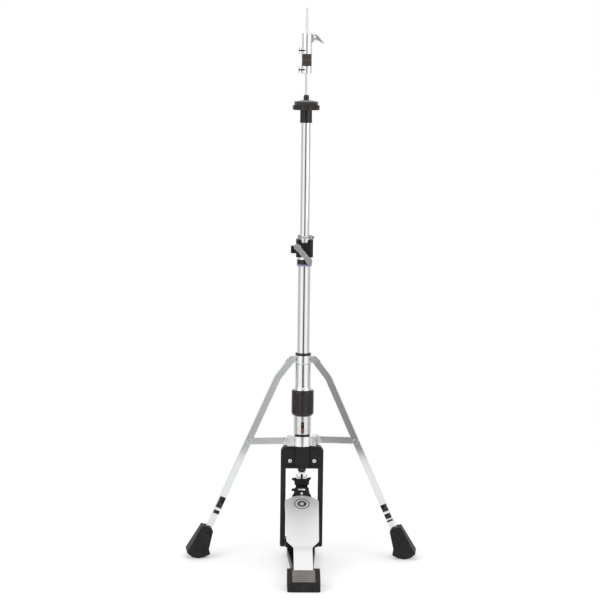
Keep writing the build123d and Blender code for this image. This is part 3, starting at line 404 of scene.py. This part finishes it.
def rounded(outline):
    """A closed outline with its corners cut again and again."""
    for _ in range(CORNER_ROUNDS):
        cut = []
        for (r0, z0), (r1, z1) in zip(outline, outline[1:] + outline[:1]):
            for far in (CORNER_CUT, 1 - CORNER_CUT):
                cut.append((r0 * (1 - far) + r1 * far, z0 * (1 - far) + z1 * far))
        outline = cut
    return outline


FELT_STEPS = 120  # cross-sections round a felt
FELT_SWELL = 0.12  # depth of its unevenness


def washer(z0, z1, r_in, r_out, edge, crown=0.0):
    """Mesh builder for a felt disc about the pole, in millimetres: soft edges, crowned top, uneven skin."""
    outline = [
        (r_in, z0), (r_in + edge, z0), (r_out - edge, z0), (r_out, z0), (r_out, z0 + edge),
        (r_out, z1 - edge), (r_out, z1), (r_out - edge, z1), (r_in + edge, z1 + crown), (r_in, z1 + crown),
    ]
    outline = rounded(outline)

    def build(made):
        loops = []
        for i in range(FELT_STEPS):
            a = 2 * math.pi * i / FELT_STEPS
            loop = []
            for k, (r, z) in enumerate(outline):
                lump = math.sin(7 * a + 1.7 * k) * math.sin(3 * a + 0.6 * k) - 1.0
                uneven = FELT_SWELL * lump if r > r_in + edge else 0.0
                reach = (r + uneven) * MM
                loop.append((reach * math.cos(a), reach * math.sin(a), (z + uneven / 2) * MM))
            loops.append(loop)
        loft(made, loops, closed=True)

    return build


# felt washers in place of the plain CAD rings
SLEEVE_R, FELT_R = 6.05, 9.6  # clutch felts, inside and outside
POST_R, DISC_R = 5.45, 23.0  # seat disc, inside and outside
FELT_GAP_HALF = 0.1  # half the gap between the two clutch felts
DISC_CROWN = 2.8  # height of the disc's domed top
felt_low, felt_high = span_z("felts")
felt_middle = (felt_low + felt_high) / 2
for name, low, high in (
    ("lower_clutch_felt", felt_low, felt_middle - FELT_GAP_HALF),
    ("upper_clutch_felt", felt_middle + FELT_GAP_HALF, felt_high),
):
    made_felt = piece(name, washer(low, high, SLEEVE_R, FELT_R, 1.0), "dark_felt", "clutch")
    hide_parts("felts")
disc_low, disc_high = span_z("seat_felt")
disc = washer(disc_low, disc_high - DISC_CROWN, POST_R, DISC_R, 1.5, crown=DISC_CROWN)
seat_disc = piece("seat_disc", disc, "dark_felt", "seat")
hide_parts("seat_felt")

# return spring, made as two runs of coil in place of the CAD spring
COIL_R, WIRE_R, COILS = 9.8, 1.1, 7  # those of the CAD spring
COIL_STEPS, WIRE_SIDES = 40, 10  # mesh: cross-sections in a turn, and corners of each
FIXED_SHARE = 0.33  # share of the spring's height in its lower run
spring_low, spring_high = span_z("return_spring")


def coil(start, end):
    """Mesh builder for the part of the spring between two shares of its height."""
    low, high = spring_low + WIRE_R, spring_high - WIRE_R

    def build(made):
        steps = round((end - start) * COILS * COIL_STEPS)
        loops = []
        for i in range(steps + 1):
            share = start + (end - start) * i / steps
            angle = 2 * math.pi * COILS * share
            z = low + (high - low) * share
            loop = []
            for k in range(WIRE_SIDES):
                turn = 2 * math.pi * k / WIRE_SIDES
                r = COIL_R + WIRE_R * math.cos(turn)
                point = (r * math.cos(angle), r * math.sin(angle), z + WIRE_R * math.sin(turn))
                loop.append(tuple(c * MM for c in point))
            loops.append(loop)
        loft(made, loops)

    return build


for name, start, end, moving, moving_z in (
    ("lower_coils", 0.0, FIXED_SHARE, "tension_seat", spring_low + 2 * WIRE_R),
    ("upper_coils", FIXED_SHARE, 1.0, "pull_rod", spring_high - 2 * WIRE_R),
):
    made_coil = piece(name, coil(start, end), "spring_steel")
    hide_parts("return_spring")
    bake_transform(made_coil)

# painted shade: dark crescents in the rubber look that fill the slits of the two lock nuts, standing in for
# the shade inside them
EAR_X, EAR_R = -9.5, 6.35  # the nut's ear: its middle and radius
SLOT_SHADE_HALF, SLOT_SHADE_EDGE = 1.25, 0.25  # half thickness, and size of its bevels
SLOT_SHADE_X, SLOT_SHADE_Y = -6.3, 2.8  # how far the crescent reaches towards the pole and towards the back
OUTLINE_STEPS = 48


def slot_shade(middle):
    """Mesh builder for a dark crescent of painted shade that fills a nut's slit from the ear's rim inwards.
    """

    def build(made):
        outline = []
        for i in range(OUTLINE_STEPS):
            a = 2 * math.pi * i / OUTLINE_STEPS
            outline.append((EAR_X + EAR_R * math.cos(a), EAR_R * math.sin(a)))
        kept = [(x, y) for x, y in outline if x < SLOT_SHADE_X and y < SLOT_SHADE_Y]
        flat = SLOT_SHADE_HALF - SLOT_SHADE_EDGE
        loops = []
        for inset, z in ((SLOT_SHADE_EDGE, -SLOT_SHADE_HALF), (0.0, -flat), (0.0, flat), (SLOT_SHADE_EDGE, SLOT_SHADE_HALF)):
            loops.append([(x * MM, (y + inset) * MM, (middle + z) * MM) for x, y in kept])
        loft(made, loops)

    return build


# each nut gets a dark crescent of painted shade in its slit
for node, body in (("upper_nut", "clutch"), ("bottom_nut", "bottom_nut")):
    piece(f"{node}_shim", slot_shade(sum(span_z(node)) / 2), "rubber", body)


STRIP_HALF_X, STRIP_HALF_Z, STRIP_Z = 7.1, 1.9, 134.0  # half width, half height, and middle height
STRIP_FRONT, STRIP_BACK = -16.8, -15.2  # Y of its two faces
SQUARENESS = 0.35  # 1 is an ellipse, 0 a rectangle


def strip_end(made):
    """End plate of the strap seen in the toe bracket's slot, with rounded corners."""
    outline = []
    for i in range(OUTLINE_STEPS):
        a = 2 * math.pi * i / OUTLINE_STEPS
        x = math.copysign(abs(math.cos(a)) ** SQUARENESS, math.cos(a)) * STRIP_HALF_X
        z = math.copysign(abs(math.sin(a)) ** SQUARENESS, math.sin(a)) * STRIP_HALF_Z
        outline.append((x, z))
    back_edge, front_edge = (0.96, STRIP_BACK), (0.93, STRIP_FRONT)
    loops = []
    for scale, y in (back_edge, (1.0, STRIP_BACK - 0.2), (1.0, STRIP_FRONT + 0.3), front_edge):
        loops.append([(x * scale * MM, y * MM, (STRIP_Z + z * scale) * MM) for x, z in outline])
    loft(made, loops)


piece("strip_end", strip_end, "bright_casting", "footboard")

# ---------------------------------------------------------------- rings printed on the footboard
BOARD_SLOPE = math.radians(24.64)
BOARD_HINGE = (-219.2, 24.6)  # Y, Z of the heel hinge, millimetres
BOARD_TOP = 6.2  # top face above the hinge axis
EMBLEM_AT = 196.0  # distance along the board
RING_FOOT, RING_TOP, RING_EDGE = 0.02, 0.22, 0.15  # a ring's foot and top above the board, and its bevel
RING_STEPS = 72


def on_board(x, along, above):
    """A point on the footboard, in metres."""
    lift = BOARD_TOP + above
    y = BOARD_HINGE[0] + along * math.cos(BOARD_SLOPE) - lift * math.sin(BOARD_SLOPE)
    z = BOARD_HINGE[1] + along * math.sin(BOARD_SLOPE) + lift * math.cos(BOARD_SLOPE)
    return (x * MM, y * MM, z * MM)


def oval(outer, band):
    """Mesh builder for a thin oval ring lying on the footboard."""
    section = ((0, RING_FOOT), (RING_EDGE, RING_TOP), (band - RING_EDGE, RING_TOP), (band, RING_FOOT))

    def build(made):
        loops = []
        for i in range(RING_STEPS):
            a = 2 * math.pi * i / RING_STEPS
            loop = []
            for inset, above in section:
                x = (outer[0] - inset) * math.cos(a)
                along = EMBLEM_AT + (outer[1] - inset) * math.sin(a)
                loop.append(on_board(x, along, above))
            loops.append(loop)
        loft(made, loops, closed=True)

    return build


for name, outer, band in (("board_ring_outer", (15.0, 15.8), 1.7), ("board_ring_inner", (8.6, 9.0), 4.2)):
    piece(name, oval(outer, band), "black_steel", "footboard")

# ---------------------------------------------------------------- bands wrapped round the lower legs
LEG_FLOOR_R, LEG_RUN = 210.0, 104.3 / 231.0  # leg's line: radius at the floor, and radius per height
LEG_WIDE, LEG_DEEP = 6.4, 5.0  # half sizes of the leg's channel
LEG_AZIMUTHS = {"left": 186.5, "right": -6.5}  # degrees about the pole
FILM_OUT, FILM_IN = 0.14, 0.02  # the film's two faces above the leg
BACK_INSET, CORNER_INSET = 0.2, 0.7  # what is left free at the open side, and at the corners
# heights of each leg's bands, in millimetres
BANDS = {"left": ((98.0, 119.5), (86.5, 93.0)), "right": ((93.0, 106.5), (79.0, 88.5), (73.0, 76.5))}


def leg_band(azimuth, low, high):
    """Mesh builder for a film folded over the leg's three closed sides between two heights."""
    angle = math.radians(azimuth)
    out = Vector((math.cos(angle), math.sin(angle), 0))
    across = Vector((math.sin(angle), -math.cos(angle), 0))
    up = Vector((0, 0, 1))
    outward = (out + up * LEG_RUN) / math.hypot(1, LEG_RUN)
    back, front, corner = -LEG_WIDE + BACK_INSET, LEG_WIDE - CORNER_INSET, LEG_DEEP - CORNER_INSET
    section = []
    for gap in (FILM_OUT, FILM_IN):
        side = [(back, -LEG_DEEP - gap), (front, -LEG_DEEP - gap)]
        side += [(LEG_WIDE + gap, -corner), (LEG_WIDE + gap, corner)]
        side += [(front, LEG_DEEP + gap), (back, LEG_DEEP + gap)]
        section += side if gap == FILM_OUT else side[::-1]

    def build(made):
        loops = []
        for height in (low, high):
            centre = out * (LEG_FLOOR_R - height * LEG_RUN) + up * height
            loops.append([(centre + outward * n + across * w) * MM for n, w in section])
        loft(made, loops)

    return build


for side, ranges in BANDS.items():
    for number, (low, high) in enumerate(ranges):
        name = f"leg_band_{side}_{number}"
        piece(name, leg_band(LEG_AZIMUTHS[side], low, high), "black_plastic", f"leg_{side}")


# ---------------------------------------------------------------- stage, light and camera
FLOOR_HALF = 0.95  # small enough for the tubes and legs to mirror what lies beyond its edge


def stage():
    """Pale square floor under the object."""
    mesh = bpy.data.meshes.new("floor")
    corners = [(x * FLOOR_HALF, y * FLOOR_HALF, 0.0) for x, y in ((-1, -1), (1, -1), (1, 1), (-1, 1))]
    mesh.from_pydata(corners, [], [(0, 1, 2, 3)])
    floor = bpy.data.objects.new("floor", mesh)
    bpy.context.scene.collection.objects.link(floor)
    s = Shade("floor_paper", IOR=1.3, Emission_Color=(1, 1, 1, 1), Emission_Strength=0.33)
    tone = s.noise(60.0, 4.0)
    colour = s.mix(tone, (0.66, 0.66, 0.66), (0.70, 0.70, 0.70))
    floor.data.materials.append(s.finish(colour, 0.85, s.bump(s.noise(0.6), 0.01)))


def area_light(name, place, target, size, watts):
    """A soft panel facing target."""
    data = bpy.data.lights.new(name, "AREA")
    data.shape = "RECTANGLE"
    data.size, data.size_y = size
    data.energy = watts
    light = bpy.data.objects.new(name, data)
    light.location = place
    light.rotation_euler = (Vector(target) - Vector(place)).to_track_quat("-Z", "Y").to_euler()
    bpy.context.scene.collection.objects.link(light)


# what the plating mirrors: (share of the half turn from the pedal's side to the back, brightness)
WALL_TONES = (
    (0.0, 0.10), (0.045, 0.13), (0.078, 0.66), (0.105, 0.95), (0.20, 1.15),
    (0.34, 1.1), (0.42, 0.62), (0.62, 0.60), (0.74, 0.95), (1.0, 1.0),
)
OVERHEAD_TONE = 0.92
OVERHEAD_STARTS, OVERHEAD_FULL = 0.25, 0.6  # sine of the height above the horizon


def studio():
    """White surround for the camera; for the plating, two walls of light with a dark gap between them."""
    world = bpy.data.worlds.new("studio")
    bpy.context.scene.world = world
    world.use_nodes = True
    tree = world.node_tree
    tree.nodes.clear()

    def add(kind, inputs, output=0, **settings):
        return add_node(tree, kind, inputs, output, **settings)

    aim = add("ShaderNodeTexCoord", {}, "Generated")
    across, along, height = (add("ShaderNodeSeparateXYZ", {0: aim}, axis) for axis in range(3))
    back = add("ShaderNodeMath", {0: along, 1: -1.0}, operation="MULTIPLY")
    angle = add("ShaderNodeMath", {0: across, 1: back}, operation="ARCTAN2")
    half_turn = add("ShaderNodeMath", {0: angle}, operation="ABSOLUTE")
    share = add("ShaderNodeMath", {0: half_turn, 1: math.pi}, operation="DIVIDE")
    ramp = tree.nodes.new("ShaderNodeValToRGB")
    tree.links.new(share, ramp.inputs[0])
    while len(ramp.color_ramp.elements) < len(WALL_TONES):
        ramp.color_ramp.elements.new(0.5)
    for element, (at, level) in zip(ramp.color_ramp.elements, WALL_TONES):
        element.position = at
        element.color = (level, level, level, 1.0)
    rise = {"Value": height, "From Min": OVERHEAD_STARTS, "From Max": OVERHEAD_FULL}
    overhead = add("ShaderNodeMapRange", rise)
    blend = {"Value": overhead, "To Min": ramp.outputs[0], "To Max": OVERHEAD_TONE}
    tone = add("ShaderNodeMapRange", blend)
    path = add("ShaderNodeLightPath", {}, "Is Camera Ray")
    mirrored = add("ShaderNodeBackground", {"Color": tone, "Strength": 1.0})
    seen = add("ShaderNodeBackground", {"Color": (1.0, 1.0, 1.0, 1.0), "Strength": 1.0})
    either = add("ShaderNodeMixShader", {0: path, 1: mirrored, 2: seen})
    out = tree.nodes.new("ShaderNodeOutputWorld")
    tree.links.new(either, out.inputs["Surface"])
    area_light("key", (-1.9, -1.6, 1.9), (0, 0, 0.5), (1.4, 1.4), 16.0)
    area_light("fill", (2.1, -1.3, 1.3), (0, 0, 0.5), (1.2, 1.8), 9.0)
    area_light("top", (0.0, 0.3, 2.8), (0, 0, 0.3), (1.6, 1.6), 5.0)


CAMERA_DISTANCE, CAMERA_HEIGHT = 3.55, 0.976
CAMERA_ANGLES = (-1.4, 7.5, 0.122, 0.68)  # azimuth about the pole, pitch down, yaw and roll, degrees
LENS, SENSOR = 110.0, 36.0  # millimetres


def camera():
    """The photograph's viewpoint: a little to the left, just below the rod's top, and tilted down."""
    azimuth, pitch, yaw, roll = (math.radians(a) for a in CAMERA_ANGLES)
    data = bpy.data.cameras.new("camera")
    data.lens, data.sensor_width = LENS, SENSOR
    obj = bpy.data.objects.new("camera", data)
    place = Vector((
        CAMERA_DISTANCE * math.sin(azimuth), -CAMERA_DISTANCE * math.cos(azimuth), CAMERA_HEIGHT
    ))
    heading = azimuth + yaw
    level = Vector((-math.sin(heading), math.cos(heading), 0))
    ahead = level * math.cos(pitch) - Vector((0, 0, math.sin(pitch)))
    right = ahead.cross(Vector((0, 0, 1))).normalized()
    up = right.cross(ahead)
    turned_up = up * math.cos(roll) - right * math.sin(roll)
    turned_right = right * math.cos(roll) + up * math.sin(roll)
    facing = Matrix((turned_right, turned_up, -ahead)).transposed().to_4x4()
    obj.matrix_world = Matrix.Translation(place) @ facing
    bpy.context.scene.collection.objects.link(obj)
    bpy.context.scene.camera = obj


stage()
studio()
camera()
bpy.context.scene.view_settings.view_transform = "Standard"
